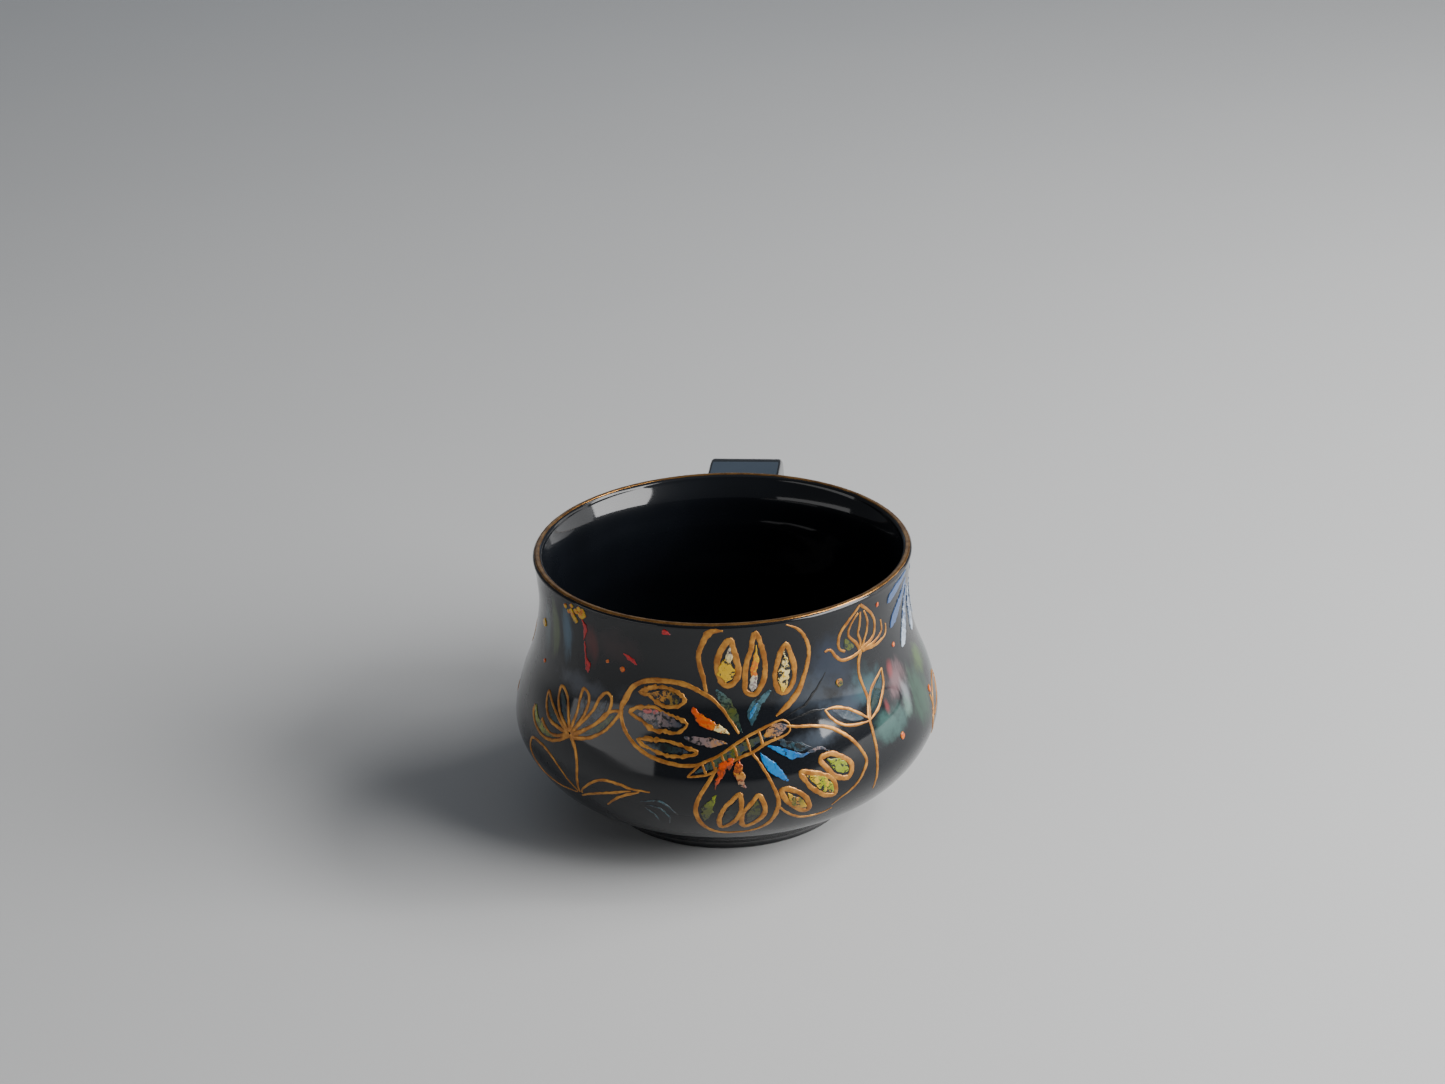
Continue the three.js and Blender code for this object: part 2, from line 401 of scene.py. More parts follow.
# Each stroke carries its paint and its fleck colour, and in the fleck's alpha how many dark gaps it has.
def enamel():
    finish = Finish("thick_enamel")
    paint = finish.node("ShaderNodeAttribute", {"attribute_name": "paint"}, out="Color")
    fleck = finish.node("ShaderNodeAttribute", {"attribute_name": "fleck"}, out="Color")
    speck = finish.node("ShaderNodeAttribute", {"attribute_name": "fleck"}, out="Alpha")
    mottle = finish.noise(900, 5, 0.62, twist=0.8)
    drift = finish.noise(520, 2, 0.5)
    mixed = finish.mix(finish.step(mottle, 0.49, 0.58), paint, fleck)
    blotch = finish.noise(880, 3, 0.6, twist=0.9)
    gaps = finish.step(blotch + speck * 0.11, 0.655, 0.67)
    finish.give(Base_Color=finish.mix(gaps, mixed, (0.004, 0.006, 0.006, 1)))
    finish.give(Roughness=finish.range(mottle, 0.2, 0.42), Coat_Weight=finish.range(drift, 0.2, 0.8))
    finish.give(Coat_Roughness=0.1, Specular_IOR_Level=0.3)
    finish.bump(mottle, 0.12 * mm)
    return finish.material


def turnedWood():
    finish = Finish("bare_lime_wood")
    grain = finish.noise(900, 4, 0.6, stretch=(1, 0.12, 1))
    finish.give(Base_Color=finish.mix(grain, screenColour(198, 164, 118), screenColour(232, 206, 164)))
    finish.give(Roughness=finish.range(grain, 0.55, 0.8))
    finish.bump(grain, 0.05 * mm)
    return finish.material


plain = plainLacquer()
washedAndSheened = washAndSheenLacquer()
enamels = enamel()
wood = turnedWood()
gold = goldPaint("bronze_gold_paint", golds["lines"])
lipGold = goldPaint("lip_gold", golds["lip"])


def finishPiece(piece, slotName, *replaced):
    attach(piece, "root")
    if replaced:
        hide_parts(*replaced)
    print("piece:", piece.name, len(piece.data.polygons), "faces")


body = turnBowl()
body.data.materials.append(plain)
body.data.materials.append(washedAndSheened)
for face in body.data.polygons:  # washes and painted sheen only on the outside, between the foot and the lip
    height = face.center.z / mm
    reach = math.hypot(face.center.x, face.center.y) / mm
    face.material_index = int(2 < height < 64.5 and reach > radiusAt(height) - 1)
finishPiece(body, "black_lacquer", "bowl_body")


# "from" and "to" are how far over the lip the gold starts and ends, in mm from its outer edge.
gilding = {
    "from": 0.8,
    "to": 2.1,
    "thickness": 0.1,
    "sunk": 0.05,
    "ragged": 0.12,
    "waves": {"from": 14, "to": 11, "load": 30},  # how busy each edge and the paint's load are
    "full": 0.6,  # lower has steeper sides
    "sides": 224,
    "section": 14,
}


def gildLip():
    line = lipArc()
    waves = gilding["waves"]
    step = 0.05
    arcs = [0.0]
    for one, two in zip(line, line[1:]):
        arcs.append(arcs[-1] + (two - one).length)
    radii, heights = [p.x for p in line], [p.y for p in line]
    bpy.ops.object.select_all(action="DESELECT")
    bpy.ops.mesh.primitive_torus_add(
        major_segments=gilding["sides"],
        minor_segments=gilding["section"],
        major_radius=bowl["lipCentre"][0] * mm,
        minor_radius=1 * mm,
    )
    band = bpy.context.object
    band.name = "lip_gilding"
    for vertex in band.data.vertices:
        turn = math.atan2(vertex.co.y, vertex.co.x)
        side = math.atan2(vertex.co.z / mm, math.hypot(vertex.co.x, vertex.co.y) / mm - bowl["lipCentre"][0])
        ring = Vector((math.cos(turn), math.sin(turn), 0))
        start = gilding["from"] + gilding["ragged"] * noise.noise(ring * waves["from"])
        end = gilding["to"] + gilding["ragged"] * 1.5 * noise.noise(ring * waves["to"] + Vector((0, 0, 7)))
        along = start + (end - start) * (1 - math.cos(side)) / 2
        here = Vector((lookUp(arcs, radii, along), lookUp(arcs, heights, along)))
        ahead = Vector((lookUp(arcs, radii, along + step), lookUp(arcs, heights, along + step)))
        run = (ahead - here).normalized()
        thick = gilding["thickness"] * (1 + 0.25 * noise.noise(ring * waves["load"]))
        lift = thick * math.sin(side) ** gilding["full"] if side > 0 else -gilding["sunk"]
        vertex.co = (ring * (here.x + run.y * lift) + Vector((0, 0, here.y - run.x * lift))) * mm
    bpy.ops.object.shade_smooth()
    bpy.ops.object.mode_set(mode="EDIT")
    bpy.ops.mesh.select_all(action="SELECT")
    bpy.ops.mesh.normals_make_consistent(inside=False)
    bpy.ops.object.mode_set(mode="OBJECT")
    band.data.materials.append(lipGold)
    return band


finishPiece(gildLip(), "gold_paint", "rim_gilding")


# The outline is (away from the axis, height) in mm, with the curve's controls before and after each corner.
handle = {
    "width": 18,
    "edge": 0.9,
    "outline": [
        ((42, 61), None, None),
        ((62, 61), None, (69, 61)),
        ((73, 49), (73, 57), (73, 37)),
        ((53, 21.5), (64, 25.5), None),
        ((48, 20.4), None, None),
        ((48, 30.8), None, None),
        ((51, 31), None, (58, 33.5)),
        ((65.5, 47.5), (65.5, 41), (65.5, 52)),
        ((59, 54.2), (63.5, 54.2), None),
        ((42, 54.2), None, None),
    ],
}


def sawHandle():
    line = bpy.data.curves.new("handle_board", "CURVE")
    line.dimensions = "2D"
    line.fill_mode = "BOTH"
    line.resolution_u = 28
    line.extrude = handle["width"] / 2 - handle["edge"]
    line.bevel_depth = handle["edge"]
    line.bevel_resolution = 5
    line.offset = -handle["edge"]
    spline = line.splines.new("BEZIER")
    spline.bezier_points.add(len(handle["outline"]) - 1)
    spline.use_cyclic_u = True
    for point, (corner, before, after) in zip(spline.bezier_points, handle["outline"]):
        point.handle_left_type = "FREE" if before else "VECTOR"
        point.handle_right_type = "FREE" if after else "VECTOR"
        point.co = (*corner, 0)
        point.handle_left = (*(before or corner), 0)
        point.handle_right = (*(after or corner), 0)
    board = bpy.data.objects.new("handle_board", line)
    bpy.context.scene.collection.objects.link(board)
    pickOnly(board)
    bpy.ops.object.convert(target="MESH")
    board = bpy.context.object
    standUp = Matrix(((0, 0, mm, 0), (mm, 0, 0, 0), (0, mm, 0, 0), (0, 0, 0, 1)))  # flat mm to upright m
    board.data.transform(standUp)
    bpy.ops.object.mode_set(mode="EDIT")
    bpy.ops.mesh.select_all(action="SELECT")
    bpy.ops.mesh.remove_doubles(threshold=0.004 * mm)
    bpy.ops.mesh.normals_make_consistent(inside=False)
    bpy.ops.object.mode_set(mode="OBJECT")
    bpy.ops.object.shade_smooth_by_angle(angle=math.radians(30))
    board.data.materials.append(plain)
    return board


finishPiece(sawHandle(), "black_lacquer", "handle")
for name in ("upper_handle_dowel", "lower_handle_dowel"):
    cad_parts[name].data.materials.clear()
    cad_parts[name].data.materials.append(wood)


# A stroke is drawn flat in mm, given a brush-load section, and laid on the bowl.
brush = {
    "lineSection": [
        (-1, -0.3), (-0.95, 0.1), (-0.62, 0.42), (0, 0.55), (0.62, 0.42), (0.95, 0.1), (1, -0.3),
    ],
    "dabSteps": 12,  # points across a wide dab
    "dabWidths": 12,  # steps of its width from end to end
    "dabEnds": 0.14,  # width of its ends, as a share
    "dabBlunt": 0.75,  # lower is blunter
    "dabLumps": 0.12,
    "curveSteps": 14,  # steps between two places
    "lineStep": 0.5,
    "dabStep": 0.25,
    "lineLift": 0.13,
    "dabLift": 0.28,
    "thinLift": 0.08,
    "sunk": 0.08,
    "shoulder": 0.6,  # lower has steeper sides
    "waves": {"width": 1.3, "load": 1.7, "wander": 0.8, "quiver": 2.4},  # how busy each is along a stroke
}
thin = brush["thinLift"]
chance = random.Random(11)
noise.seed_set(11)  # without a seed the strokes' edges wander differently on each run


def sectionCurve(name, points):
    line = bpy.data.curves.new(name, "CURVE")
    line.dimensions = "2D"
    spline = line.splines.new("POLY")
    spline.points.add(len(points) - 1)
    spline.use_cyclic_u = True
    for point, (across, up) in zip(spline.points, points):
        point.co = (across, up, 0, 1)
    section = bpy.data.objects.new(name, line)
    bpy.context.scene.collection.objects.link(section)
    return section


dabCrown = [math.pi * (1 - k / brush["dabSteps"]) for k in range(brush["dabSteps"] + 1)]
dabPoints = [(math.cos(turn), 0.1 + 0.5 * math.sin(turn) ** 0.7) for turn in dabCrown[1:-1]]
lineSection = sectionCurve("line_section", brush["lineSection"])
dabSection = sectionCurve("dab_section", [(-1, -0.3), *dabPoints, (1, -0.3)])


def evenSteps(line, step, closed):
    if closed:
        line = line + line[:1]
    arcs = [0.0]
    for one, two in zip(line, line[1:]):
        arcs.append(arcs[-1] + max((two - one).length, 1e-6))
    count = max(6, round(arcs[-1] / step))
    shares = [k / count for k in range(count if closed else count + 1)]
    across = [p.x for p in line]
    up = [p.y for p in line]
    whole = arcs[-1]
    return [(s, Vector((lookUp(arcs, across, s * whole), lookUp(arcs, up, s * whole)))) for s in shares]


# Widths are in mm from the start of the stroke to its end, and colours are spread over it the same way.
# Edge is how far in mm the sides wander, and lumps how much the load swells and thins.
def stroke(
    places, widths, lift, step, section, edge=0.06, lumps=0.1, closed=False, colours=None, fleck=None
):
    middle = sum(degrees for degrees, height in places) / len(places)
    flat = [flatten(degrees, height, middle) for degrees, height in places]
    path = evenSteps(smoothLine(flat, brush["curveSteps"], closed), step, closed)
    waves = brush["waves"]
    line = bpy.data.curves.new("stroke", "CURVE")
    line.dimensions = "3D"
    line.twist_mode = "Z_UP"
    line.bevel_mode = "OBJECT"
    line.bevel_object = section
    line.use_fill_caps = True
    spline = line.splines.new("POLY")
    spline.points.add(len(path) - 1)
    spline.use_cyclic_u = closed
    seed = Vector((chance.uniform(0, 90), chance.uniform(0, 90), 0))
    shares = [k / (len(widths) - 1) for k in range(len(widths))]
    for point, (share, place) in zip(spline.points, path):
        wobble = noise.noise(seed + Vector((place.x, place.y, 0)) * waves["width"])
        point.co = (place.x, place.y, 0, 1)
        point.radius = max(0.1, lookUp(shares, widths, share) / 2 * (1 + lumps * 2 * wobble))
    made = bpy.data.objects.new("stroke", line)
    bpy.context.scene.collection.objects.link(made)
    pickOnly(made)
    bpy.ops.object.convert(target="MESH")
    made = bpy.context.object
    first = path[0][1]
    run = path[-1][1] - first
    if colours:
        painted = made.data.attributes.new("paint", "FLOAT_COLOR", "POINT")
        flecked = made.data.attributes.new("fleck", "FLOAT_COLOR", "POINT")
    for vertex in made.data.vertices:
        place = Vector((vertex.co.x, vertex.co.y))
        if colours:
            share = min(max((place - first).dot(run) / run.length_squared, 0), 1) * (len(colours) - 1)
            at = min(int(share), len(colours) - 2)
            blend = Vector(colours[at]).lerp(Vector(colours[at + 1]), share - at)
            painted.data[vertex.index].color = blend
            flecked.data[vertex.index].color = fleck
        raised = -brush["sunk"]
        if vertex.co.z > 0:
            load = 1 + 1.5 * lumps * noise.noise(seed + Vector((place.x, place.y, 9)) * waves["load"])
            raised = lift * load * (1 - math.exp(-vertex.co.z / (brush["shoulder"] * lift)))
        wander = noise.noise_vector(seed + Vector((place.x, place.y, 3)) * waves["wander"]) * edge * 2
        wander += noise.noise_vector(seed + Vector((place.x, place.y, 5)) * waves["quiver"]) * edge * 0.5
        vertex.co = ontoBowl(place.x + wander.x, place.y + wander.y, raised, middle)
    return made


def joinStrokes(name, strokes, material):
    pickOnly(*strokes)
    bpy.ops.object.join()
    joined = bpy.context.object
    joined.name = name
    joined.data.name = name
    while joined.data.uv_layers:
        joined.data.uv_layers.remove(joined.data.uv_layers[0])
    bpy.ops.object.mode_set(mode="EDIT")
    bpy.ops.mesh.select_all(action="SELECT")
    bpy.ops.mesh.remove_doubles(threshold=0.0004 * mm)
    bpy.ops.mesh.normals_make_consistent(inside=False)
    bpy.ops.object.mode_set(mode="OBJECT")
    bpy.ops.object.shade_smooth_by_angle(angle=math.radians(70))
    joined.data.materials.clear()
    joined.data.materials.append(material)
    return joined


# One width alone is thinned at both ends.
def goldLine(places, *widths):
    if len(widths) == 1:
        full = widths[0]
        widths = (full * 0.6, full, full, full, full * 0.5)
    return stroke(places, widths, brush["lineLift"], brush["lineStep"], lineSection)


def goldRing(places, width, edge=0.08, lumps=0.12):
    lift, step = brush["lineLift"], brush["lineStep"]
    return stroke(places, (width, width), lift, step, lineSection, edge, lumps, True)


# Paints are named from its start to its end, and fleck is the paint mottled into them.
# Fullest is where along the dab it is widest, and specks is how many dark gaps it has, from 0 to about 1.
def dab(places, width, paints, fleck, edge=0.2, fullest=0.5, specks=0.3, lift=brush["dabLift"]):
    bend = math.log(0.5) / math.log(fullest)
    steps = brush["dabWidths"]
    swell = [math.sin(math.pi * (k / steps) ** bend) ** brush["dabBlunt"] for k in range(steps + 1)]
    widths = [width * max(brush["dabEnds"], share) for share in swell]
    colours = [paint[name] for name in paints]
    flecks = (*paint[fleck][:3], specks)
    step, lumps = brush["dabStep"], brush["dabLumps"]
    return stroke(places, widths, lift, step, dabSection, edge, lumps, False, colours, flecks)


paint = {
    "lemon": screenColour(204, 162, 4),
    "amber": screenColour(200, 104, 4),
    "cream": screenColour(222, 204, 142),
    "bone": screenColour(176, 172, 160),
    "orange": screenColour(200, 70, 4),
    "brick": screenColour(120, 50, 18),
    "sky": screenColour(12, 116, 180),
    "blue": screenColour(12, 90, 160),
    "haze": screenColour(58, 84, 126),
    "frost": screenColour(176, 188, 202),
    "teal": screenColour(28, 60, 70),
    "sea": screenColour(62, 96, 104),
    "moss": screenColour(74, 80, 18),
    "lime": screenColour(128, 140, 4),
    "pine": screenColour(12, 36, 26),
    "mauve": screenColour(122, 104, 102),
    "rose": screenColour(176, 88, 86),
    "red": screenColour(200, 16, 10),
    "crimson": screenColour(164, 2, 16),
    "ochre": screenColour(176, 118, 32),
    "slate": screenColour(46, 54, 66),
    "soot": screenColour(8, 9, 11),
}


# Places are (degrees round from the front, height in mm), here and in every painted piece below.
butterfly = {
    "wings": [  # lines and their widths along them
        ([(5.5, 64.5), (3.5, 64.5), (1.5, 64), (-0.5, 61.5), (-2, 57.5), (-1, 53), (0, 49)],
          (0.6, 1.9, 1.3, 1.2, 1.2, 1.1, 0.8)),
        ([(24, 64.5), (27.5, 63), (30, 60.5), (31.5, 57), (31, 53.5), (29, 49.5), (27.5, 47.5),
          (24.5, 45), (20, 42.5)], (0.4, 0.7, 0.9, 1, 1.1, 1.2, 1.6, 1.5, 0.4)),
        ([(9, 39.5), (6, 43.5), (3, 46.5), (-0.5, 48.5), (-6, 50.5), (-12, 51), (-18, 50.5),
          (-22.5, 48.5), (-25, 45), (-26, 43), (-25.5, 40.5), (-24, 38.5), (-21.5, 36.5), (-17.5, 34.5),
          (-11.5, 33), (-5, 32.5), (0, 33.5)],
          (0.5, 0.7, 0.8, 1.1, 1.2, 1.3, 1.3, 1.2, 1.5, 1, 1, 1, 1, 1, 0.9, 0.7)),
        ([(22.5, 40), (26, 39.5), (30, 39), (34.5, 38), (38.5, 36), (42, 33), (44.5, 29.5), (45, 27.5),
          (44, 26), (42, 23.5), (39.5, 21.5), (36.5, 20), (34.5, 18.5)],
          (0.6, 0.8, 0.9, 1, 1, 0.9, 0.8, 0.8, 0.7, 0.5, 0.3)),
        ([(18.5, 22), (21, 19.5), (24, 17.5), (27, 16.5), (32, 16.5), (35, 17.5)],
          (0.5, 0.7, 0.7, 0.7, 0.3)),
        ([(12.5, 35), (14.5, 32.5), (17, 28), (18.5, 24), (18.5, 21), (16.5, 16.5), (12, 14), (6.5, 13.5),
          (2, 14), (-1.5, 16.5), (-3, 20.5), (-2.5, 24), (-0.5, 27.5), (2, 31), (2.5, 32.5)],
          (0.5, 0.7, 0.8, 1, 1.1, 0.9, 0.8, 0.8, 0.9, 1.1, 1.1, 1, 0.9, 0.6)),
    ],
    "rings": [  # closed drops and their line widths
        ([(7.5, 62), (8.5, 59), (9.5, 55.5), (9.5, 53), (8, 51), (6, 50.5), (4.5, 51.5), (3.5, 54),
          (3.5, 56.5), (4.5, 59), (6, 61)], 1.45),
        ([(15, 63.5), (16.5, 60), (17.5, 56.5), (17.5, 52.5), (16, 49.5), (14, 48), (11.5, 49),
          (11.5, 51.5), (12, 55.5), (13.5, 59), (14, 61.5)], 1.25),
        ([(24, 59.5), (25.5, 57), (26.5, 54), (26.5, 51), (25, 48.5), (22.5, 47.5), (21, 49), (20.5, 52),
          (21.5, 55), (22.5, 57.5)], 1.3),
        ([(31, 31.5), (34.5, 32), (37.5, 30.5), (39.5, 29), (40, 27.5), (38.5, 25.5), (35, 26.5),
          (32.5, 29)], 1.3),
        ([(25, 29.5), (27.5, 29), (30.5, 28), (33.5, 26.5), (34.5, 24.5), (34.5, 22), (31.5, 22.5),
          (28, 25), (26, 27.5)], 1.25),
        ([(19.5, 26), (21.5, 26), (24.5, 24.5), (26.5, 22.5), (27.5, 19.5), (26, 19), (23, 21),
          (20.5, 23.5)], 1.25),
        ([(8.5, 26), (9, 23.5), (8.5, 20.5), (6.5, 17.5), (3.5, 16), (3, 19), (4.5, 22.5), (6.5, 24.5)],
          1.15),
        ([(13.5, 25.5), (15, 22.5), (15, 20), (13, 17.5), (10, 16), (9, 17.5), (9.5, 21), (12, 24)],
          1.15),
    ],
    "dotted": [  # closed drops drawn with an uneven load
        ([(-20.5, 47.5), (-16.5, 49), (-12.5, 49.5), (-8.5, 48.5), (-6.5, 47), (-8, 45.5), (-11, 45),
          (-14, 45.5), (-17.5, 47)], 0.95),
        ([(-23, 42.5), (-20.5, 44), (-15.5, 44.5), (-12.5, 43.5), (-9, 43), (-5.5, 41.5), (-8, 39.5),
          (-11.5, 39.5), (-15.5, 39.5), (-19, 41)], 0.9),
        ([(-19.5, 37), (-16, 37.5), (-12, 37.5), (-7.5, 37), (-2.5, 35.5), (-6.5, 34.5), (-11, 34.5),
          (-16, 35.5)], 0.85),
    ],
    "bodyTop": [
        (-5, 30), (-1.5, 33), (3.5, 35), (9.5, 38), (13.5, 39.5), (17, 40.5), (21.5, 41.5), (23.5, 40.5),
    ],
    "bodyUnder": [
        (-5, 30), (-0.5, 30.5), (2.5, 31.5), (5.5, 33), (9.5, 34.5), (13, 35.5), (16.5, 37), (21.5, 38),
        (23.5, 39), (23.5, 40.5),
    ],
    "bars": [
        [(-1, 33), (0, 30.5)], [(1.5, 34), (2.5, 31.5)], [(4, 35.5), (5, 32.5)], [(7.5, 37), (8.5, 34)],
        [(11, 38.5), (12, 35.5)], [(14.5, 40), (15.5, 36.5)], [(18.5, 41), (19, 37.5)],
    ],
}


def butterflyPieces():
    lines = [goldLine(places, *widths) for places, widths in butterfly["wings"]]
    lines += [goldRing(places, width) for places, width in butterfly["rings"]]
    lines += [goldRing(places, width, 0.16, 0.5) for places, width in butterfly["dotted"]]
    lines += [goldLine(butterfly["bodyTop"], 0.75), goldLine(butterfly["bodyUnder"], 0.75)]
    for (highTurn, high), (lowTurn, low) in butterfly["bars"]:
        between = ((highTurn + lowTurn) / 2, (high + low) / 2)
        lines.append(goldLine([(highTurn, high), between, (lowTurn, low)], 0.7))
    finishPiece(joinStrokes("butterfly_contour", lines, gold), "gold_paint", "butterfly_outline")

    backing = [
        dab([(-3, 31), (3, 33.5), (10, 36.5), (18, 39)], 2.4, ["teal", "moss", "slate"], "slate", 0.05,
            specks=0.4, lift=thin),
        dab([(16, 38.5), (19.5, 39.5), (23, 40)], 2.9, ["ochre", "mauve"], "slate", 0.05, specks=0.9,
            lift=0.12),
    ]
    finishPiece(joinStrokes("butterfly_body_fill", backing, enamels), "enamel_colours")

    upperWing = [
        dab([(7.5, 60.5), (7, 58), (6.5, 55)], 1.5, ["bone", "cream", "lemon"], "mauve", 0.16, 0.6, 0.5),
        dab([(6.5, 57.5), (6, 54.5), (6, 51.5)], 3.6, ["lemon", "lemon"], "lemon", 0.25, 0.6, 0.45),
        dab([(15, 60), (15, 57), (14.5, 54), (14, 50.5)], 1.6, ["lemon", "amber", "amber"], "lemon", 0.22,
            0.55, 0.2),
        dab([(14.5, 53.5), (14, 51), (13.5, 48.5)], 2, ["cream", "bone", "bone"], "mauve", 0.2, 0.55,
            0.2),
        dab([(24, 57.5), (23.5, 54), (23, 50.5), (23, 48)], 2.8, ["cream", "cream", "lemon"], "lemon",
            0.24, 0.66, 1.1),
        dab([(3, 49.5), (6.5, 45.5), (10, 39.5)], 2.3, ["sea", "moss", "teal"], "pine", 0.16, 0.4, 0.5,
            0.1),
        dab([(19, 48.5), (14, 45), (12.5, 41)], 2.5, ["sea", "sea", "teal"], "teal", 0.2, 0.5, 0.5, 0.1),
        dab([(15, 46), (13.5, 44.5), (12.5, 42.5)], 1.1, ["sky", "sky"], "sea", 0.2, 0.5, 0.2),
    ]
    finishPiece(joinStrokes("upper_wing_enamel", upperWing, enamels), "enamel_colours")

    leftWing = [
        dab([(-18.5, 47.5), (-13, 47.5), (-8, 46.5)], 3, ["ochre", "ochre", "moss"], "soot", 0.25, 0.68,
            1.0, 0.16),
        dab([(-20.5, 42.5), (-14, 42), (-7, 41)], 3.6, ["mauve", "mauve", "slate"], "slate", 0.2, 0.5,
            1.0, 0.16),
        dab([(-19, 43.5), (-17.5, 43.5), (-16, 43.5)], 1.2, ["rose", "rose"], "rose", 0.2, specks=0.2),
        dab([(-16, 43.5), (-15, 43.5), (-14, 43.5)], 1, ["rose", "rose"], "mauve", 0.2, specks=0.2),
        dab([(-17, 36.5), (-11, 36), (-5, 35.5)], 1.8, ["slate", "pine", "slate"], "soot", 0.15, 0.5, 0.7,
            0.12),
        dab([(-4, 45.5), (-1.5, 42.5), (2, 41), (4, 40)], 2.3, ["orange", "amber", "amber"], "orange",
            0.22, 0.45, 0.1),
        dab([(1, 41), (4, 40.5), (6.5, 39.5)], 1.7, ["cream", "cream"], "ochre", 0.25, 0.5, 0.2),
        dab([(-6.5, 38.5), (-1.5, 38), (5.5, 37.5)], 2, ["slate", "mauve", "ochre"], "mauve", 0.25, 0.45,
            0.9, 0.18),
    ]
    finishPiece(joinStrokes("left_wing_enamel", leftWing, enamels), "enamel_colours")

    rightWing = [
        dab([(33, 31), (36, 29), (39, 27)], 3.1, ["lime", "lime"], "lime", 0.16, 0.55, 0.9),
        dab([(26.5, 28.5), (30.5, 26), (34, 23)], 3, ["lemon", "lime", "lime"], "lemon", 0.14, 0.6, 0.8),
        dab([(21, 25), (23.5, 22.5), (26.5, 20)], 2.4, ["lemon", "moss", "lemon"], "ochre", 0.14, 0.55,
            0.5),
        dab([(17, 36.5), (20.5, 35), (23.5, 33.5), (28, 33.5)], 1.7, ["sky", "sky", "slate"], "blue",
            0.25, 0.45, 0.3, 0.2),
        dab([(19, 37.5), (24, 35.5), (29, 34.5)], 1.8, ["slate", "teal", "slate"], "soot", 0.3, 0.5, 0.9,
            0.14),
        dab([(27.5, 33.5), (31, 34), (34, 33)], 0.8, ["slate", "slate"], "mauve", 0.2, 0.3, 0.5, 0.1),
        dab([(14.5, 35), (17.5, 31.5), (21.5, 28)], 2.4, ["sky", "sky", "blue"], "sky", 0.14, 0.5, 0.3),
    ]
    finishPiece(joinStrokes("right_wing_enamel", rightWing, enamels), "enamel_colours")

    lowerWing = [
        dab([(2.5, 25.5), (0, 22), (-1, 18.5)], 2.3, ["lime", "moss", "moss"], "moss", 0.35, 0.55, 0.8,
            0.2),
        dab([(8, 24.5), (6.5, 21.5), (4, 17.5)], 2.4, ["soot", "pine"], "soot", 0.1, lift=thin),
        dab([(13, 24), (12.5, 21), (10.5, 17.5)], 2.8, ["moss", "soot"], "soot", 0.1, lift=thin),
        dab([(7.5, 34), (5, 33), (3.5, 30), (2, 27.5)], 1.6, ["orange", "orange", "brick"], "brick", 0.28,
            0.4, 0.5),
        dab([(7.5, 34), (6.5, 33), (6, 31.5)], 1.2, ["orange", "orange"], "brick", 0.25, 0.5, 0.3),
        dab([(9, 34), (8.5, 31.5), (9, 29.5), (10, 27.5)], 2.3, ["orange", "ochre", "mauve"], "brick",
            0.25, 0.45, 0.8),
    ]
    finishPiece(joinStrokes("lower_wing_enamel", lowerWing, enamels), "enamel_colours")

    feelers = [
        dab([(22.5, 42), (26, 43), (30, 44.5), (37, 50)], 0.6, ["soot", "soot"], "soot", 0.1, specks=0,
            lift=0.1),
        dab([(23.5, 41), (30.5, 42), (37, 41.5)], 0.5, ["soot", "soot"], "soot", 0.1, specks=0, lift=0.1),
    ]
    finishPiece(joinStrokes("butterfly_feelers", feelers, enamels), "enamel_colours")


butterflyPieces()


openFlower = {
    "petals": [  # drawn from the cup, round the tip and back
        [(-42.5, 33), (-47.5, 30.5), (-53, 29.5), (-58.5, 30.5), (-61.5, 32.5), (-61.5, 34.5)],
        [(-42.5, 33.5), (-48, 31.5), (-52, 31.5), (-56, 33)],
        [(-43, 33.5), (-51.5, 34), (-55.5, 36.5), (-56.5, 39.5), (-52.5, 37.5), (-48, 35.5), (-43, 33.5)],
        [(-43, 34), (-48.5, 37), (-51, 40), (-50.5, 42.5), (-47, 41), (-45, 38), (-42.5, 34)],
        [(-42.5, 34), (-41.5, 38.5), (-41.5, 42), (-40.5, 44.5), (-38, 43), (-38.5, 39), (-41.5, 34)],
        [(-42, 34), (-36.5, 39.5), (-34, 43.5), (-31.5, 45.5), (-29.5, 44), (-31, 40), (-36, 36.5),
         (-41, 33.5)],
        [(-41.5, 33.5), (-34.5, 37.5), (-30.5, 41), (-26.5, 42), (-27.5, 40), (-30.5, 37), (-35, 34.5),
         (-41, 33)],
    ],
    "stem": [(-42, 33.5), (-39.5, 31), (-38, 27.5), (-38, 24), (-38.5, 20)],
    "leaves": [
        [(-39, 20), (-44, 24), (-49, 26.5), (-54, 27.5), (-59.5, 27), (-60.5, 23), (-57, 19.5),
         (-49, 18.5), (-39.5, 19.5)],
        [(-37.5, 20), (-36.5, 21.5), (-32.5, 24.5), (-29, 26), (-24, 26), (-20.5, 25.5), (-15, 25.5)],
        [(-38, 19), (-34.5, 20.5), (-30.5, 22), (-25.5, 23.5), (-20.5, 25)],
        [(-29, 19), (-25, 22), (-21, 24), (-18, 25)],
    ],
    "ghostLeaf": [
        [(-18, 22.5), (-13.5, 23.5), (-10.5, 22.5), (-8, 20)],
        [(-16.5, 22), (-13, 21.5), (-10.5, 19), (-11, 16.5)],
        [(-17, 21), (-15, 19.5), (-13.5, 17)],
    ],
}


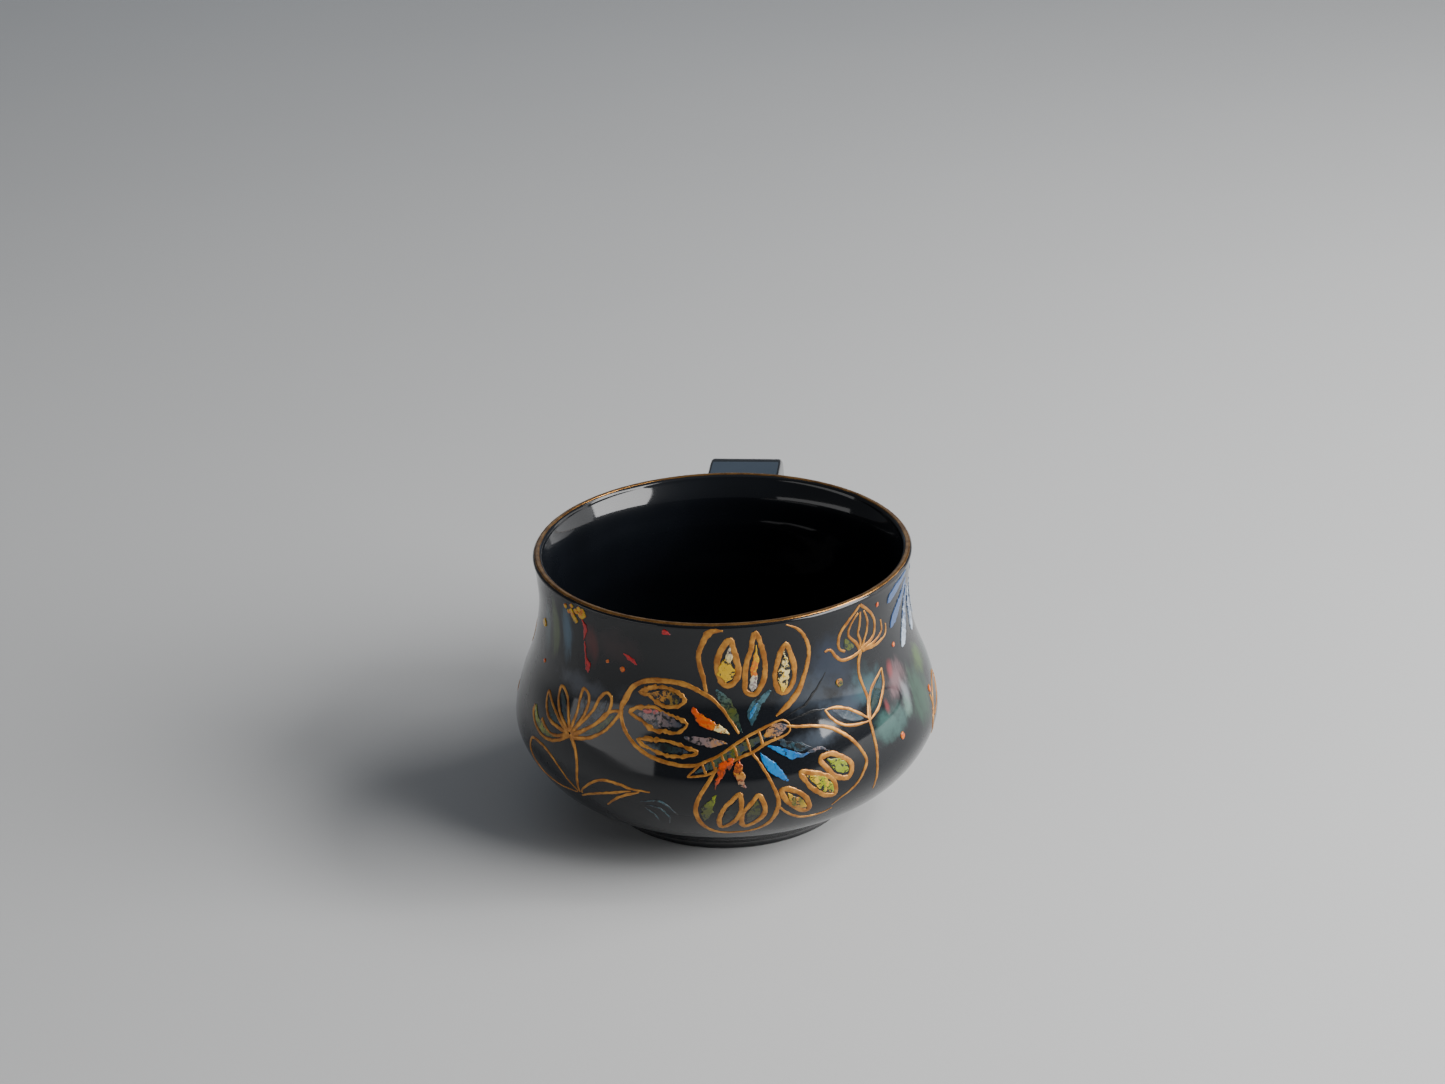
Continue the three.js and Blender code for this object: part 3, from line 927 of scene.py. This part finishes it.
def openFlowerPieces():
    lines = [goldLine(places, 1.1, 0.85, 0.8, 0.85, 1.1) for places in openFlower["petals"]]
    lines.append(goldLine(openFlower["stem"], 1.5, 1, 0.9, 0.8, 0.5))
    lines += [goldLine(places, 0.7) for places in openFlower["leaves"]]
    finishPiece(joinStrokes("open_flower_contour", lines, gold), "gold_paint", "open_flower_petals")
    fills = [
        dab([(-61, 35), (-59, 32.5), (-53.5, 31), (-47.5, 31)], 1.7, ["lime", "lime", "pine"], "moss",
            0.2, 0.35, 0.4, 0.12),
        dab([(-46.5, 34.5), (-51, 35.5), (-55, 38)], 1.6, ["teal", "pine"], "pine", 0.08, lift=thin),
        dab([(-44.5, 35.5), (-47.5, 39), (-50, 41.5)], 1.8, ["teal", "pine"], "slate", 0.08, lift=thin),
        dab([(-41, 36.5), (-40, 39.5), (-40, 43)], 1.5, ["slate", "slate"], "soot", 0.08, lift=thin),
        dab([(-38, 36), (-34, 39.5), (-31, 44)], 1.8, ["slate", "slate"], "soot", 0.08, lift=thin),
        dab([(-37, 35), (-32, 37.5), (-28, 41)], 1.6, ["pine", "moss"], "pine", 0.08, lift=thin),
    ]
    finishPiece(joinStrokes("open_flower_fill", fills, enamels), "enamel_colours")
    ghosts = [
        dab(places, 0.5, ["slate", "sea", "slate"], "soot", 0.1, specks=0.7, lift=thin)
        for places in openFlower["ghostLeaf"]
    ]
    finishPiece(joinStrokes("ghost_leaf", ghosts, enamels), "enamel_colours")


openFlowerPieces()


bud = {
    "petals": [  # and their widths
        ([(50, 64), (46.5, 61.5), (43, 59), (42, 56.5), (42.5, 54.5), (44.5, 53.5)],
          (0.7, 0.8, 0.9, 0.9, 0.6)),
        ([(50, 64), (54, 61.5), (57.5, 58), (57.5, 54.5), (54.5, 53), (51, 52.5)],
          (0.9, 0.7, 0.7, 0.8, 1)),
        ([(49.5, 62), (46.5, 59.5), (46, 57), (49, 54.5), (50.5, 52.5)], (0.6, 0.6, 0.7, 0.8, 1)),
        ([(50.5, 62), (50.5, 58.5), (50, 56.5), (51, 54.5), (51, 52.5)], (0.6, 0.7, 0.7, 0.6)),
        ([(52, 62), (54, 59), (54, 56.5), (53, 54.5), (51.5, 52.5)], (0.5, 0.6, 0.7, 0.8)),
        ([(37, 55), (39, 55), (41, 53), (43.5, 51.5), (47.5, 51.5), (51, 52)], (0.5, 0.8, 0.8, 0.9, 0.8)),
        ([(61, 57), (61.5, 54), (58, 52.5), (51.5, 52)], (0.5, 0.6, 0.8, 1)),
        ([(64, 55), (63.5, 52.5), (58.5, 51.5), (51.5, 52)], (0.5, 0.6, 0.8, 1)),
    ],
    "stem": [
        (51, 52), (49.5, 49.5), (49, 46.5), (50, 43), (50.5, 40.5), (49, 37), (49, 33), (49, 29),
        (48.5, 25), (48.5, 19),
    ],
    "leaves": [
        [(49, 36.5), (45, 39), (42, 40.5), (38, 41.5), (35, 41.5)],
        [(35, 41.5), (36.5, 39.5), (39.5, 37.5), (43, 36.5), (48.5, 36)],
        [(49.5, 36.5), (50.5, 39.5), (52.5, 42), (55, 43.5), (59, 45.5)],
        [(59, 45.5), (58.5, 42), (56, 39.5), (53, 37.5), (49, 36)],
    ],
}


def budPieces():
    lines = [goldLine(places, *widths) for places, widths in bud["petals"]]
    lines.append(goldLine(bud["stem"], 1.1, 0.8, 0.8, 0.9, 0.9, 0.8, 0.8, 0.7, 0.4))
    lines += [goldLine(places, 0.8) for places in bud["leaves"]]
    finishPiece(joinStrokes("bud_contour", lines, gold), "gold_paint", "flower_bud_petals")
    fills = [
        dab([(47, 37), (43, 38.5), (37.5, 41)], 2.2, ["teal", "slate"], "slate", 0.1, lift=thin),
        dab([(50.5, 38), (54, 40.5), (58, 44)], 2.2, ["pine", "teal"], "pine", 0.1, lift=thin),
        dab([(48, 53.5), (46, 54.5), (44.5, 56.5)], 2, ["moss", "moss"], "pine", 0.15, lift=0.1),
    ]
    finishPiece(joinStrokes("bud_fill", fills, enamels), "enamel_colours")


budPieces()


def dot(degrees, height, size, colour, fleck):
    lean = 0.3
    half = size * 0.55
    places = [(degrees - lean, height - half), (degrees, height), (degrees + lean, height + half)]
    return dab(places, size, [colour, colour], fleck, 0.1, specks=0.1)


looseDabs = {
    "berries": [  # degrees, height and size
        (-49, 63, 1.4), (-45.5, 64, 1.2), (-47.5, 62, 1.2), (-46, 62.5, 1.5), (-42, 64, 1.5),
        (-43.5, 63, 1.5), (-40.5, 64, 1.4), (-41.5, 62.5, 1.8), (-40, 63, 1.3), (-45.5, 61.5, 1.5),
        (-44.5, 60.5, 1.5), (-67, 53, 2.2),
    ],
    "orangeDots": [
        (58.5, 61.5, 1), (67.5, 48.5, 1.2), (82.5, 32, 1.7), (60, 29, 1.6), (-26.5, 52, 1.2), (-32, 53, 0.8),
        (-63.5, 44.5, 1.1),
    ],
    "redStrokes": [
        ([(-42, 62), (-41, 61), (-40.5, 59.5), (-41, 57.5), (-42, 56)], 0.9),
        ([(-41.5, 56), (-41, 53.5), (-40.5, 51)], 0.6),
        ([(-40.5, 52), (-40, 50.5), (-39.5, 48.5)], 1.5),
        ([(-25.5, 56), (-23.5, 55), (-21, 54)], 0.9),
        ([(-12.5, 63), (-11.5, 63.5), (-10.5, 63)], 1.2),
    ],
    "bluePetals": [  # places from tip to root, width and the tip's paint
        ([(64.5, 60), (69, 62), (79, 64)], 2.3, "haze"),
        ([(67, 53), (73.5, 57), (80, 61.5)], 2.9, "haze"),
        ([(73, 46), (78, 51), (81.5, 59.5)], 3.1, "frost"),
        ([(85.5, 46), (87, 50), (85, 57.5)], 3.4, "frost"),
        ([(98, 46), (96, 51), (90, 58)], 2.8, "frost"),
        ([(104, 54), (99, 57.5), (91, 60.5)], 2.6, "haze"),
    ],
}

# The parts of two more flowers that go on round the sides.
sideFlowers = {
    "lines": [
        ([(81.5, 31), (82, 28), (80, 24), (83, 20)], 1.1),
        ([(81, 27), (86, 31), (92, 32.5), (95, 30.5), (90, 27.5), (82, 25.5)], 0.9),
        ([(-98, 20), (-99, 25), (-98, 31), (-100, 37)], 1),
        ([(-100, 37), (-93, 39), (-88.5, 43), (-89, 46), (-94, 43.5), (-99.5, 38)], 1),
        ([(-100, 37.5), (-97, 43), (-98, 49), (-101, 45), (-100.5, 38)], 1),
        ([(-100.5, 37.5), (-104, 43), (-109, 46.5), (-108.5, 42), (-101, 37)], 1),
        ([(-100.5, 37), (-107, 38.5), (-113, 40.5), (-112, 37.5), (-101, 36.5)], 1),
        ([(-98.5, 24), (-92, 28.5), (-86.5, 29.5), (-91, 25.5), (-98.5, 22.5)], 0.85),
    ],
}


def loosePieces():
    berries = [dot(*place, "lemon", "amber") for place in looseDabs["berries"]]
    finishPiece(joinStrokes("yellow_berries", berries, enamels), "enamel_colours")
    oranges = [dot(*place, "amber", "orange") for place in looseDabs["orangeDots"]]
    oranges.append(
        dab([(40, 46.5), (41, 46.5), (42, 46)], 2.2, ["ochre", "brick"], "moss", specks=0.6)
    )
    finishPiece(joinStrokes("orange_dots", oranges, enamels), "enamel_colours")
    reds = [
        dab(places, width, ["red", "crimson"], "crimson", 0.25, specks=0.1, lift=0.22)
        for places, width in looseDabs["redStrokes"]
    ]
    finishPiece(joinStrokes("red_strokes", reds, enamels), "enamel_colours")
    blues = [
        dab(places, width, [tip, "haze", "haze"], tip, 0.1, 0.3, 0, 0.2)
        for places, width, tip in looseDabs["bluePetals"]
    ]
    finishPiece(joinStrokes("blue_petals", blues, enamels), "enamel_colours")
    lines = [goldLine(places, width) for places, width in sideFlowers["lines"]]
    finishPiece(joinStrokes("side_flower_contours", lines, gold), "gold_paint")


loosePieces()
for section in (lineSection, dabSection):
    bpy.data.objects.remove(section)
print("painting laid on the bowl")


# A light's azimuth is round from the front, rise is its angle up, and away and size are in m.
studio = {
    "floor": 6.0,
    "lights": [
        {"name": "window_right", "azimuth": 77, "rise": 28, "away": 0.9, "size": (0.68, 0.58), "watts": 16},
        {"name": "window_far", "azimuth": 110, "rise": 49, "away": 0.9, "size": (0.34, 0.2), "watts": 3},
        {"name": "panel_side", "azimuth": 118, "rise": 14, "away": 0.9, "size": (0.6, 0.5), "watts": 1.6},
        {"name": "panel_left", "azimuth": -60, "rise": 3, "away": 0.95, "size": (1.0, 0.34), "watts": 1.6},
        {"name": "back_panel", "azimuth": 186, "rise": 26, "away": 1.3, "size": (0.9, 0.4), "watts": 0.6,
         "tint": (0.5, 0.72, 1)},
        {"name": "overhead", "azimuth": 20, "rise": 80, "away": 1.6, "size": (2, 2), "watts": 1.5},
    ],
    "aimHeight": 0.04,
    "world": (0.11, 0.116, 0.128, 1),
}


def lightStudio():
    bpy.ops.object.select_all(action="DESELECT")
    bpy.ops.mesh.primitive_grid_add(x_subdivisions=4, y_subdivisions=4, size=studio["floor"])
    floor = bpy.context.object
    floor.name = "studio_floor"
    finish = Finish("pale_floor")
    shade = finish.noise(3, 4)
    finish.give(Base_Color=finish.mix(shade, (0.52, 0.52, 0.515, 1), (0.57, 0.57, 0.565, 1)), Roughness=0.85)
    finish.bump(finish.noise(900, 3), 0.05 * mm, 0.5)
    floor.data.materials.append(finish.material)
    for light in studio["lights"]:
        lamp = bpy.data.lights.new(light["name"], "AREA")
        lamp.shape = "RECTANGLE"
        lamp.size, lamp.size_y = light["size"]
        lamp.energy = light["watts"]
        lamp.color = light.get("tint", (1, 1, 1))
        holder = bpy.data.objects.new(light["name"], lamp)
        bpy.context.scene.collection.objects.link(holder)
        turn, rise = math.radians(light["azimuth"]), math.radians(light["rise"])
        out = Vector((math.sin(turn) * math.cos(rise), -math.cos(turn) * math.cos(rise), math.sin(rise)))
        place = Vector((0, 0, studio["aimHeight"])) + out * light["away"]
        holder.matrix_world = Matrix.Translation(place) @ out.to_track_quat("Z", "Y").to_matrix().to_4x4()
    world = bpy.data.worlds.new("studio")
    world.use_nodes = True
    world.node_tree.nodes["Background"].inputs["Color"].default_value = studio["world"]
    bpy.context.scene.world = world


lightStudio()
print("studio lit")
